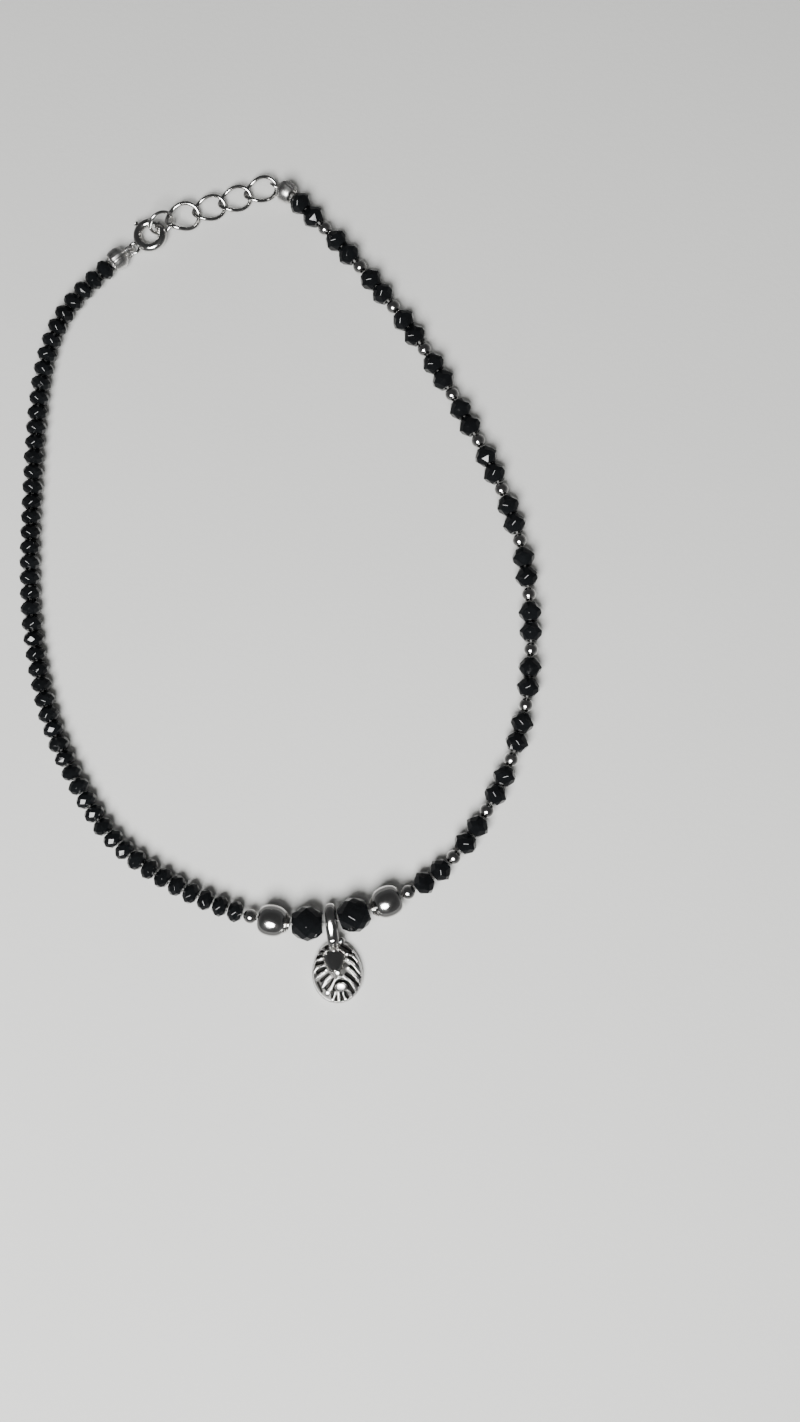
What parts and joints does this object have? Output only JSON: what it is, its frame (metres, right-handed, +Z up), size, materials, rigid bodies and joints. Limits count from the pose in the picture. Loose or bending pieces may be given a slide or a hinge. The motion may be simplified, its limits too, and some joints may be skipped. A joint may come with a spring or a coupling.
{
  "type": "beaded anklet",
  "caption": "Closed beaded anklet with faceted black crystals, silver balls and barrels, a small cast drop on a tall bail, and a spring ring clasp on a short chain.",
  "frame": {"origin": "bottom centre of the bounding box: the middle of the lying loop, on the surface it lies on", "axes": "+Y from the pendant towards the clasp and chain, +Z up off the surface the anklet lies on, +X to the side with the pairs of large crystals"},
  "size_m": [0.075, 0.1212, 0.005],
  "materials": {
    "black_crystal": "opaque black faceted glass, polished",
    "polished_silver": "polished silver",
    "ball_silver": "polished silver balls on a clear thread",
    "cast_silver": "cast silver, satin with dark recesses"
  },
  "bodies": {
    "anklet": {"pendant": "cast_silver", "centre_crystal_right": "black_crystal", "centre_crystal_left": "black_crystal", "barrel_right": "polished_silver", "barrel_left": "polished_silver", "silver_ball_strand": "ball_silver", "crystal_01": "black_crystal", "crystal_02": "black_crystal", "crystal_03": "black_crystal", "crystal_04": "black_crystal", "crystal_05": "black_crystal", "crystal_06": "black_crystal", "crystal_07": "black_crystal", "crystal_08": "black_crystal", "crystal_09": "black_crystal", "crystal_10": "black_crystal", "crystal_11": "black_crystal", "crystal_12": "black_crystal", "crystal_13": "black_crystal", "crystal_14": "black_crystal", "crystal_15": "black_crystal", "crystal_16": "black_crystal", "crystal_17": "black_crystal", "crystal_18": "black_crystal", "crystal_19": "black_crystal", "crystal_20": "black_crystal", "crystal_21": "black_crystal", "crystal_22": "black_crystal", "crystal_23": "black_crystal", "crystal_24": "black_crystal", "crystal_25": "black_crystal", "crystal_26": "black_crystal", "crystal_27": "black_crystal", "crystal_28": "black_crystal", "crystal_29": "black_crystal", "crystal_30": "black_crystal", "bead_tip_right": "polished_silver", "chain_link_1": "polished_silver", "chain_link_2": "polished_silver", "chain_link_3": "polished_silver", "chain_link_4": "polished_silver", "jump_ring": "polished_silver", "spring_ring": "polished_silver", "bead_tip_left": "polished_silver", "small_bead_strand": "black_crystal"},
    "bolt": {"spring_ring_bolt": "polished_silver"}
  },
  "joints": [
    {"name": "bolt_slide", "type": "hinge", "parent": "anklet", "child": "bolt", "pos_m": [-0.01992, 0.05137, 0.00132], "axis": [-0.092, -0.0726, 0.9931], "range_deg": [0, 46], "stiffness_Nm_per_rad": 0.0004, "springref_deg": -20.05}
  ]
}
